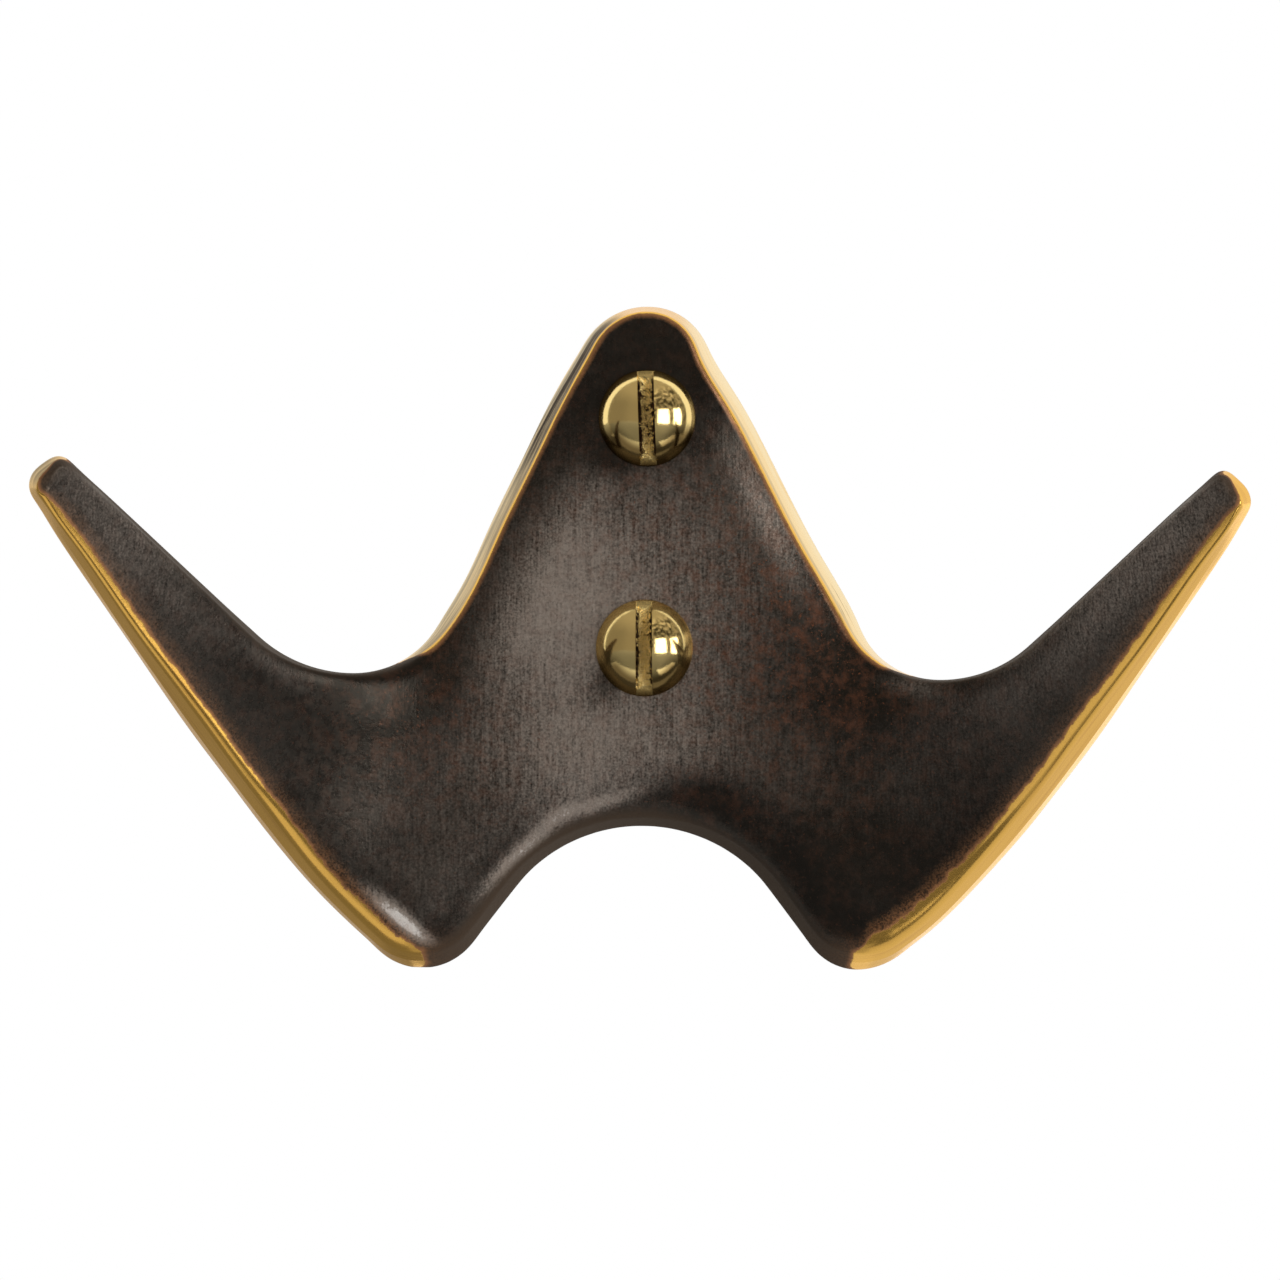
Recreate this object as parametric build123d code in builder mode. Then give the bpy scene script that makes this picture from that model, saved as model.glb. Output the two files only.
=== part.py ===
"""Wall hook: one brass casting with a rounded peak and two horns, held by two wood screws.

The back plate lies flat on the wall. Its peak points up, a round arch parts its two feet, and
from each side a horn bends forwards, outwards and up. Two slotted round-head screws on the centre
line go through the plate into the wall.

Frame: +Z is up, the wall is the plane Y = 0, and the front faces -Y. The origin lies on the wall,
on the centre line, midway between the screws. Sizes are in millimetres and degrees.
"""

import os
from math import asin, atan2, cos, hypot, radians, sin, tan

from build123d import *

# Back plate
plate_thickness = 5.0
peak_height = 19.0
peak_radius = 6.4
peak_draft = 8.0
flank_slope = 62.6
flank_draft = 14.0

# Notches between the peak and the horns
notch_reach = 24.25
notch_depth = 11.9
notch_radius = 10.9

# Arch between the feet
arch_drop = 24.45
arch_radius = 13.4
arch_slope = 54.1
arch_draft = 14.0
foot_radius = 5.6

# Horns
bend_start = 7.2
bend_radius = 24.0
bend_tilt = 20.0
horn_angle = 41.0
horn_taper = 4.8
heel_reach = 12.3
heel_drop = 44.0
side_reach = 36.2
side_drop = 18.2
tip_reach = 49.6
tip_rise = 3.5
tip_width = 4.0
tip_slope = 39.0
tip_radius = 1.5

# Edges
front_round = 0.9
back_round = 0.4

# Wood screws
screw_spacing = 19.0
head_diameter = 8.0
head_height = 2.8
slot_width = 1.4
slot_depth = 2.3
shank_diameter = 4.0
hole_clearance = 0.4
shank_length = 7.0
thread_diameter = 3.6
screw_length = 30.0
point_length = 5.0
upper_slot_turn = 2.7
lower_slot_turn = 0.8

# Room that the cutting shapes need around the casting, and the smallest area of a broad face
beyond = 80.0
broad_area = 60.0

# Directions of the right horn, seen from the front: across its bend and along its bend
across = Vector(cos(radians(bend_tilt)), 0, sin(radians(bend_tilt)))
along = Vector(-sin(radians(bend_tilt)), 0, cos(radians(bend_tilt)))
forward = Vector(0, -1, 0)

# Upper corner of the horn's end, seen from the front
tip_top_reach = tip_reach - tip_width * cos(radians(tip_slope))
tip_top_rise = tip_rise + tip_width * sin(radians(tip_slope))

# Slope of the horn's upper edge, which runs from that corner to touch the round of the notch
notch_to_tip = (tip_top_reach - notch_reach, tip_top_rise + notch_depth - notch_radius)
horn_slope = atan2(notch_to_tip[1], notch_to_tip[0]) + asin(notch_radius / hypot(*notch_to_tip))

# End of the bend on the front face, where the flat of the horn starts
back_radius = bend_radius + plate_thickness
back_angle = horn_angle + horn_taper
flat_start = bend_start + bend_radius * sin(radians(horn_angle))
flat_depth = plate_thickness + bend_radius * (1 - cos(radians(horn_angle)))

back_flat = (
    bend_start + back_radius * sin(radians(back_angle)),
    back_radius * (1 - cos(radians(back_angle))),
)
wedge = (back_radius - bend_radius * cos(radians(horn_taper))) / sin(radians(horn_taper))
slab_end = (
    flat_start + wedge * cos(radians(horn_angle)),
    flat_depth + wedge * sin(radians(horn_angle)),
)

bend_plane = Plane(origin=(0, 0, 0), x_dir=across, z_dir=along * -1)
horn_plane = Plane(
    origin=across * flat_start + forward * flat_depth,
    x_dir=across * cos(radians(horn_angle)) + forward * sin(radians(horn_angle)),
    z_dir=forward * cos(radians(horn_angle)) - across * sin(radians(horn_angle)),
)


def back_depth(u):
    """How far in front of the wall the back of the horn is, at u across the bend."""
    bent = back_radius * sin(radians(back_angle))
    rise = back_radius * (1 - cos(radians(back_angle)))
    return rise + (u - bend_start - bent) * tan(radians(back_angle))


def on_horn(x, z, depth=None):
    """Place on the horn's own plane of the point seen from the front at (x, z)."""
    u = x * across.X + z * across.Z
    v = x * along.X + z * along.Z
    if depth is None:
        depth = back_depth(u)
    flat = (u - flat_start) * cos(radians(horn_angle))
    return flat + (depth - flat_depth) * sin(radians(horn_angle)), v


def crown_sketch(depth):
    """Upper outline at this depth in front of the wall, with all that lies below it."""
    slope = radians(flank_slope)
    apex = peak_height - depth * tan(radians(peak_draft))
    flank_back = peak_radius + (peak_height - peak_radius) * cos(slope)
    flank = flank_back - depth * tan(radians(flank_draft))
    top_radius = (flank - apex * cos(slope)) / (1 - cos(slope))
    inner = (notch_reach * sin(slope) - notch_depth * cos(slope) - flank) / (1 - cos(slope))

    shoulder = (top_radius * sin(slope), apex - top_radius * (1 - cos(slope)))
    flank_end = (notch_reach - inner * sin(slope), inner * (1 - cos(slope)) - notch_depth)
    bottom = (notch_reach, -notch_depth)
    horn_start = (
        notch_reach + notch_radius * sin(horn_slope),
        notch_radius * (1 - cos(horn_slope)) - notch_depth,
    )
    horn_end = (horn_start[0] + beyond * cos(horn_slope), horn_start[1] + beyond * sin(horn_slope))
    with BuildSketch(Plane.XZ.offset(depth)) as outline:
        with BuildLine():
            Polyline((0, -beyond), (horn_end[0], -beyond), horn_end, horn_start)
            TangentArc(bottom, horn_start, tangent=(1, 0))
            TangentArc(bottom, flank_end, tangent=(-1, 0))
            Line(flank_end, shoulder)
            TangentArc((0, apex), shoulder, tangent=(1, 0))
            mirror(about=Plane.YZ)
        make_face()
    return outline.sketch


def arch_sketch(plane):
    """Arch between the feet, open far below them."""
    turn = radians(arch_slope)
    spring = (arch_radius * sin(turn), -arch_drop - arch_radius * (1 - cos(turn)))
    run = beyond * cos(turn)
    low = (spring[0] + run, spring[1] - beyond * sin(turn))
    with BuildSketch(plane) as outline:
        with BuildLine():
            ThreePointArc((-spring[0], spring[1]), (0, -arch_drop), spring)
            Polyline(spring, low, (-low[0], low[1]), (-spring[0], spring[1]))
        make_face()
    return outline.sketch


def rim_edges(body, side):
    """Edges around the broad faces that look forwards (side -1) or to the wall (side 1)."""
    faces = [f for f in body.faces() if f.area > broad_area]
    broad = [f for f in faces if f.normal_at(f.center()).Y * side > 0.5]
    edges = [edge for face in broad for edge in face.edges()]
    return [edge for edge in edges if sum(edge.is_same(other) for other in edges) == 1]


def at_tip(edge):
    """Whether an edge is a corner at the end of a horn, from its back to its front."""
    return abs(edge.center().X) > tip_top_reach - plate_thickness / 2 and abs((edge % 0.5).Y) > 0.6


# Envelope under the upper outline: its sides lean inwards over the plate, then run straight forward
with BuildPart() as crown:
    loft([crown_sketch(0), crown_sketch(flat_depth)], ruled=True)
    extrude(crown_sketch(flat_depth), amount=beyond)

# Envelope of the right horn's outer edge and tip, cut square to the horn's own face
with BuildPart() as horn_trim:
    with BuildSketch(horn_plane):
        heel = on_horn(heel_reach, -heel_drop, 0)
        side = on_horn(side_reach, -side_drop)
        tip = on_horn(tip_reach, tip_rise)
        tip_top = on_horn(tip_top_reach, tip_top_rise)
        slant = Vector(*tip_top) - Vector(*tip)
        clear_top = Vector(*tip_top) + slant * 6
        with BuildLine():
            ThreePointArc(heel, side, tip)
            Polyline(
                tip,
                tip_top,
                (clear_top.X, clear_top.Y),
                (clear_top.X, beyond),
                (-beyond, beyond),
                (-beyond, heel[1]),
                heel,
            )
        make_face()
    extrude(amount=beyond, both=True)

with BuildPart() as hook_body:
    # Bent slab of the right half: flat plate, bend, and a horn that thins towards its end
    with BuildSketch(bend_plane):
        with BuildLine():
            Line((-beyond, 0), (bend_start, 0))
            TangentArc((bend_start, 0), back_flat, tangent=(1, 0))
            Polyline(back_flat, slab_end, (flat_start, flat_depth))
            TangentArc((bend_start, plate_thickness), (flat_start, flat_depth), tangent=(1, 0))
            Polyline((bend_start, plate_thickness), (-beyond, plate_thickness), (-beyond, 0))
        make_face()
    extrude(amount=beyond, both=True)
    split(bisect_by=Plane.YZ)
    add(horn_trim.part, mode=Mode.INTERSECT)
    mirror(about=Plane.YZ)
    add(crown.part, mode=Mode.INTERSECT)

    # Arch between the feet, wider at the front
    extrude(arch_sketch(Plane.XZ), amount=flat_depth, taper=-arch_draft, mode=Mode.SUBTRACT)

    # Rounded feet and horn ends, then the softened edges around the front and the back
    fillet(hook_body.edges().sort_by(Axis.Z)[:2], radius=foot_radius)
    fillet([edge for edge in hook_body.edges() if at_tip(edge)], radius=tip_radius)
    fillet(rim_edges(hook_body.part, -1), radius=front_round)
    fillet(rim_edges(hook_body.part, 1), radius=back_round)

    # Clearance holes for the screws
    with BuildSketch(Plane.XZ):
        with GridLocations(0, screw_spacing, 1, 2):
            Circle((shank_diameter + hole_clearance) / 2)
    extrude(amount=plate_thickness, mode=Mode.SUBTRACT)

# One screw on the Y axis: domed head on the plate, plain shank in the hole, thread in the wall
with BuildPart() as screw:
    seat = -plate_thickness
    head_top = seat - head_height
    thread_start = seat + shank_length
    screw_end = seat + screw_length
    with BuildSketch(Plane.XY):
        with BuildLine():
            TangentArc((0, head_top), (head_diameter / 2, seat), tangent=(1, 0))
            Polyline(
                (head_diameter / 2, seat),
                (shank_diameter / 2, seat),
                (shank_diameter / 2, thread_start),
                (thread_diameter / 2, thread_start),
                (thread_diameter / 2, screw_end - point_length),
                (0, screw_end),
                (0, head_top),
            )
        make_face()
    revolve(axis=Axis.Y)
    with BuildSketch(Plane.XZ.offset(-head_top)):
        Rectangle(slot_width, head_diameter)
    extrude(amount=-slot_depth, mode=Mode.SUBTRACT)

# Both screws, with slots that stopped a little to the left of upright
with BuildPart() as wall_screws:
    with Locations(
        Location((0, 0, screw_spacing / 2), (0, -upper_slot_turn, 0)),
        Location((0, 0, -screw_spacing / 2), (0, -lower_slot_turn, 0)),
    ):
        add(screw.part)

hook_body.part.label = "hook_body"
wall_screws.part.label = "wall_screws"

os.makedirs("parts", exist_ok=True)
export_step(hook_body.part, "parts/hook_body.step")
export_step(wall_screws.part, "parts/wall_screws.step")
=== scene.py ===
"""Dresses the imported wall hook: its casting with hand-finished edges, its wood screws and a white studio.

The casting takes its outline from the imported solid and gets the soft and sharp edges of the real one.
Sizes are millimetres and degrees unless a name or a docstring says otherwise.
"""

import logging
import math
from collections.abc import Iterator
from contextlib import contextmanager
from dataclasses import dataclass, field
from enum import Enum
from typing import NamedTuple

import bpy
import numpy as np
from mathutils import Matrix, Vector
from mathutils.geometry import delaunay_2d_cdt


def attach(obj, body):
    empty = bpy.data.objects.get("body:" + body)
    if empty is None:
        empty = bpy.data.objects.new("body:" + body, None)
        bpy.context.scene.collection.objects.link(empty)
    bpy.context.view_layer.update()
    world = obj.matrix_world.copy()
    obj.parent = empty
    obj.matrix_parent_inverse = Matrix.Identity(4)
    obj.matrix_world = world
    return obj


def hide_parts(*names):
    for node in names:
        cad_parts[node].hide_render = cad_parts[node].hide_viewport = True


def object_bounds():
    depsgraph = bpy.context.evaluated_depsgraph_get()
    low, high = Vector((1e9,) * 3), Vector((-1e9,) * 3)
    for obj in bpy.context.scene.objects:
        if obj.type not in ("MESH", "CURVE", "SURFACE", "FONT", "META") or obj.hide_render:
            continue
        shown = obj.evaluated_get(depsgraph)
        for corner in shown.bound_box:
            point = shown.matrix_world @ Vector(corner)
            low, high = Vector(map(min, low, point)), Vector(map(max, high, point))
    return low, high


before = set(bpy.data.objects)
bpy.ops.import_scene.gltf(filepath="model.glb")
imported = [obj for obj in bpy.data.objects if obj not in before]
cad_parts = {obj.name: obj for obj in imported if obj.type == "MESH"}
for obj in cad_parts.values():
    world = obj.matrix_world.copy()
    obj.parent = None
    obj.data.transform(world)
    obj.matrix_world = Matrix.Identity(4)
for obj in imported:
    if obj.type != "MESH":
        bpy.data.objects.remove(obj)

CAD_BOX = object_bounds()
MM = 0.001
SEEN = [0, 2]
log = logging.getLogger("wall_hook")
Array = np.ndarray
Piece = bpy.types.Object
Socket = bpy.types.NodeSocket
Faces = list[tuple[int, ...]]
Triple = tuple[float, float, float]
Range = tuple[float, float]
Sides = tuple[Range, Range]


class Slot(Enum):
    """Names of the two finishes, which nothing here uses."""

    CASTING = "patinated_brass"
    SCREW = "screw_brass"


class Mixed(Enum):
    """What a mix node mixes, with its data type, the number of its first input and that of its output."""

    NUMBER = ("FLOAT", 2, 0)
    COLOUR = ("RGBA", 6, 2)


class Step(NamedTuple):
    """Smooth step of a finish: the values that it runs between, and what it gives at each."""

    low: float
    high: float
    first: float = 0.0
    last: float = 1.0


class Grain(NamedTuple):
    """Cloudy noise of a finish, with its scale in turns for each millimetre."""

    scale: float
    detail: float
    roughness: float


def ease(low: float, high: float, value: Array) -> Array:
    """Smooth step of value from 0 at low to 1 at high."""
    share = np.clip((value - low) / (high - low), 0.0, 1.0)
    return share * share * (3 - 2 * share)


def by_side(side: Array, ranges: Sides, value: Array) -> Array:
    """Smooth step of value over the first range on the left side, and over the second on the right."""
    return np.where(side < 0, ease(*ranges[0], value), ease(*ranges[1], value))


def between(first: Array | float, second: Array | float, share: Array) -> Array:
    """Value at a share of the way from first to second."""
    return first + (second - first) * share


def rounded(first: Array, corner: Array, last: Array, step: float) -> Array:
    """Place at a share of the way along the curve that rounds a corner."""
    return first * (1 - step) ** 2 + corner * 2 * step * (1 - step) + last * step**2


def spread(values: Array, width: float) -> Array:
    """Softens values along a closed loop.

    Args:
        values: One row for each point of the loop.
        width: Standard deviation of the softening, in points.

    Returns:
        The softened values, in the same shape.
    """
    count = len(values)
    steps = np.minimum(np.arange(count), count - np.arange(count))
    kernel = np.exp(-0.5 * (steps / width) ** 2)
    kernel /= kernel.sum()
    shape = (count,) + (1,) * (values.ndim - 1)
    turned = np.fft.fft(values, axis=0) * np.fft.fft(kernel).reshape(shape)
    return np.real(np.fft.ifft(turned, axis=0))


def even_loop(points: Array, count: int) -> Array:
    """Spaces points evenly along a closed line.

    Args:
        points: Corners of the closed line.
        count: How many points to return.

    Returns:
        The evenly spaced points.
    """
    closed = np.vstack([points, points[:1]])
    length = np.concatenate([[0.0], np.cumsum(np.linalg.norm(np.diff(closed, axis=0), axis=1))])
    places = np.linspace(0, length[-1], count, endpoint=False)
    return np.column_stack([np.interp(places, length, column) for column in closed.T])


def nearest_on_loop(points: Array, loop: Array) -> tuple[Array, Array]:
    """Finds the nearest place on a closed line for each point.

    Args:
        points: Points in a plane.
        loop: Corners of the closed line, in the same plane.

    Returns:
        The nearest places, and the index of the corner that starts each one's stretch.
    """
    run = np.roll(loop, -1, axis=0) - loop
    square = np.maximum((run**2).sum(axis=1), 1e-12)
    places = np.empty_like(points)
    index = np.empty(len(points), dtype=int)
    for row, point in enumerate(points):
        share = np.clip(((point - loop) * run).sum(axis=1) / square, 0, 1)
        foot = loop + run * share[:, None]
        best = int(((foot - point) ** 2).sum(axis=1).argmin())
        places[row] = foot[best]
        index[row] = best
    return places, index


def inside_loop(points: Array, loop: Array) -> Array:
    """Tells which points lie inside a closed line.

    Args:
        points: Points in a plane.
        loop: Corners of the closed line, in the same plane.

    Returns:
        Whether each point is inside.
    """
    inside = np.zeros(len(points), dtype=bool)
    for (x0, z0), (x1, z1) in zip(loop, np.roll(loop, -1, axis=0)):
        spans = (z0 > points[:, 1]) != (z1 > points[:, 1])
        if z1 != z0:
            crossing = x0 + (points[:, 1] - z0) * (x1 - x0) / (z1 - z0)
            inside ^= spans & (points[:, 0] < crossing)
    return inside


def level_loop(points: Array, triangles: Array, height: Array, level: float) -> Array:
    """Follows the line around a mesh on which a height has one level.

    Args:
        points: The mesh's vertices.
        triangles: Vertex numbers of its triangles.
        height: The height at each vertex.
        level: The level of the line.

    Returns:
        The points of the longest closed line.
    """
    links: dict[tuple[int, int], list[tuple[int, int]]] = {}
    above = height > level
    mixed = triangles[above[triangles].any(axis=1) & ~above[triangles].all(axis=1)]
    for triangle in mixed:
        pairs = [(triangle[i], triangle[(i + 1) % 3]) for i in range(3)]
        cut = [tuple(sorted(pair)) for pair in pairs if above[pair[0]] != above[pair[1]]]
        links.setdefault(cut[0], []).append(cut[1])
        links.setdefault(cut[1], []).append(cut[0])
    loops: list[list[tuple[int, int]]] = []
    left = set(links)
    while left:
        here = min(left)
        chain = []
        while here is not None:
            chain.append(here)
            left.discard(here)
            here = next((edge for edge in links[here] if edge in left), None)
        loops.append(chain)
    edges = np.array(max(loops, key=len))
    low, high = height[edges[:, 0]], height[edges[:, 1]]
    share = ((level - low) / (high - low))[:, None]
    return points[edges[:, 0]] * (1 - share) + points[edges[:, 1]] * share


def add_mesh(name: str, points: Array, faces: Faces) -> Piece:
    """Adds a mesh whose points are in millimetres.

    Args:
        name: Name of the piece.
        points: Its vertices.
        faces: Vertex numbers of its faces.

    Returns:
        The new object, at the origin.
    """
    mesh = bpy.data.meshes.new(name)
    mesh.from_pydata((points * MM).tolist(), [], faces)
    mesh.update()
    piece = bpy.data.objects.new(name, mesh)
    bpy.context.scene.collection.objects.link(piece)
    return piece


def carry(piece: Piece, name: str, values: Array) -> None:
    """Writes a number for each vertex of a piece under a name that its finish reads."""
    trait = piece.data.attributes.new(name, "FLOAT", "POINT")
    trait.data.foreach_set("value", values.astype(np.float32))


def pick(piece: Piece) -> None:
    """Makes one piece the only selected and the active one.

    Args:
        piece: The piece to select.
    """
    bpy.ops.object.select_all(action="DESELECT")
    piece.select_set(True)
    bpy.context.view_layer.objects.active = piece


@contextmanager
def editing(piece: Piece) -> Iterator[None]:
    """Opens a piece in edit mode, with its whole mesh selected.

    Args:
        piece: The piece to edit.

    Returns:
        A context that ends in object mode.
    """
    pick(piece)
    bpy.ops.object.mode_set(mode="EDIT")
    bpy.ops.mesh.select_all(action="SELECT")
    yield
    bpy.ops.object.mode_set(mode="OBJECT")


class Recipe:
    """Node tree of a finish or of the world, written from its coordinates to its shader."""

    def __init__(self, owner: bpy.types.ID, shader: str = "Principled BSDF") -> None:
        """Opens the node tree of a new material or world.

        Args:
            owner: The material or world.
            shader: Name of the shader node that it comes with.
        """
        owner.use_nodes = True
        self.owner = owner
        self.tree = owner.node_tree
        self.shader = self.tree.nodes[shader]

    def node(self, kind: str, **settings: object) -> bpy.types.Node:
        """Adds a node.

        Args:
            kind: Type of the node.
            settings: Its properties.

        Returns:
            The new node.
        """
        made = self.tree.nodes.new(kind)
        for key, value in settings.items():
            setattr(made, key, value)
        return made

    def put(self, socket: Socket, value: object) -> None:
        """Fills an input of a node.

        Args:
            socket: The input.
            value: A socket to link, a plain value, or a colour without its alpha.
        """
        if isinstance(value, Socket):
            self.tree.links.new(value, socket)
        else:
            socket.default_value = (*value, 1.0) if socket.type == "RGBA" else value

    def feed(self, name: str, value: object) -> None:
        """Fills a named input of the shader."""
        self.put(self.shader.inputs[name], value)

    def show(self, surface: Socket) -> None:
        """Makes a shader's output what the material shows."""
        self.put(self.tree.nodes["Material Output"].inputs["Surface"], surface)

    def glow(self, strength: object, colour: Triple = (1.0, 1.0, 1.0)) -> Socket:
        """Adds a surface that gives light.

        Args:
            strength: How bright it is.
            colour: Colour of its light.

        Returns:
            The light's output.
        """
        light = self.node("ShaderNodeEmission")
        self.put(light.inputs["Color"], colour)
        self.put(light.inputs["Strength"], strength)
        return light.outputs[0]

    def seen(self) -> Socket:
        """Tells what is looked at from what only gives light.

        Returns:
            1 for the camera, reflections and what shows through glass, and 0 for all else.
        """
        path = self.node("ShaderNodeLightPath").outputs
        shown = self.calc("MAXIMUM", path["Is Camera Ray"], path["Is Glossy Ray"])
        return self.calc("MAXIMUM", shown, path["Is Transmission Ray"])

    def millimetres(self, stretch: Triple = (1.0, 1.0, 1.0)) -> Socket:
        """Adds object coordinates in millimetres.

        Args:
            stretch: What each axis is multiplied by.

        Returns:
            The coordinates.
        """
        scaled = self.node("ShaderNodeMapping")
        self.put(scaled.inputs["Vector"], self.node("ShaderNodeTexCoord").outputs["Object"])
        self.put(scaled.inputs["Scale"], tuple(part / MM for part in stretch))
        return scaled.outputs["Vector"]

    def trait(self, name: str) -> Socket:
        """A number that the piece's mesh carries at each vertex."""
        return self.node("ShaderNodeAttribute", attribute_name=name).outputs["Fac"]

    def noise(self, place: Socket, grain: Grain) -> Socket:
        """Adds cloudy noise around 0.5.

        Args:
            place: Coordinates to read it at.
            grain: How fine it is.

        Returns:
            The noise.
        """
        made = self.node("ShaderNodeTexNoise")
        self.put(made.inputs["Vector"], place)
        for name, value in zip(("Scale", "Detail", "Roughness"), grain):
            self.put(made.inputs[name], value)
        return made.outputs[0]

    def ripple(self, place: Socket, grain: Grain) -> Socket:
        """Cloudy noise around 0."""
        return self.calc("SUBTRACT", self.noise(place, grain), 0.5)

    def calc(self, operation: str, *values: object) -> Socket:
        """Adds one step of arithmetic.

        Args:
            operation: Name of the step.
            values: One to three numbers or sockets.

        Returns:
            The result.
        """
        made = self.node("ShaderNodeMath", operation=operation)
        for socket, value in zip(made.inputs, values):
            self.put(socket, value)
        return made.outputs[0]

    def times(self, first: object, *others: object) -> object:
        """Multiplies numbers and sockets.

        Args:
            first: What to start from.
            others: What to multiply it by.

        Returns:
            The product.
        """
        for other in others:
            first = self.calc("MULTIPLY", first, other)
        return first

    def remap(self, value: Socket, step: Step) -> Socket:
        """Adds a smooth step.

        Args:
            value: What it depends on.
            step: Its ends and what it gives there.

        Returns:
            The result.
        """
        made = self.node("ShaderNodeMapRange", interpolation_type="SMOOTHSTEP")
        for socket, entry in zip(made.inputs, (value, *step)):
            self.put(socket, entry)
        return made.outputs[0]

    def mix(self, kind: Mixed, share: object, first: object, second: object) -> Socket:
        """Mixes two numbers or colours.

        Args:
            kind: Which of them.
            share: How much of the second there is.
            first: What shows at a share of 0.
            second: What shows at a share of 1.

        Returns:
            The mixture.
        """
        data_type, start, result = kind.value
        made = self.node("ShaderNodeMix", data_type=data_type)
        for number, value in ((0, share), (start, first), (start + 1, second)):
            self.put(made.inputs[number], value)
        return made.outputs[result]

    def blend(self, share: object, first: object, second: object) -> Socket:
        """Mixes two colours."""
        return self.mix(Mixed.COLOUR, share, first, second)

    def bump(self, height: Socket, strength: object, distance: float, normal: Socket | None = None) -> Socket:
        """Adds surface relief.

        Args:
            height: Its height, from 0 to 1.
            strength: How strongly it shows.
            distance: How high it is at 1.
            normal: Relief that it lies on.

        Returns:
            The normal of the relief.
        """
        made = self.node("ShaderNodeBump")
        self.put(made.inputs["Strength"], strength)
        self.put(made.inputs["Distance"], distance * MM)
        self.put(made.inputs["Height"], height)
        if normal is not None:
            self.put(made.inputs["Normal"], normal)
        return made.outputs[0]


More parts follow.
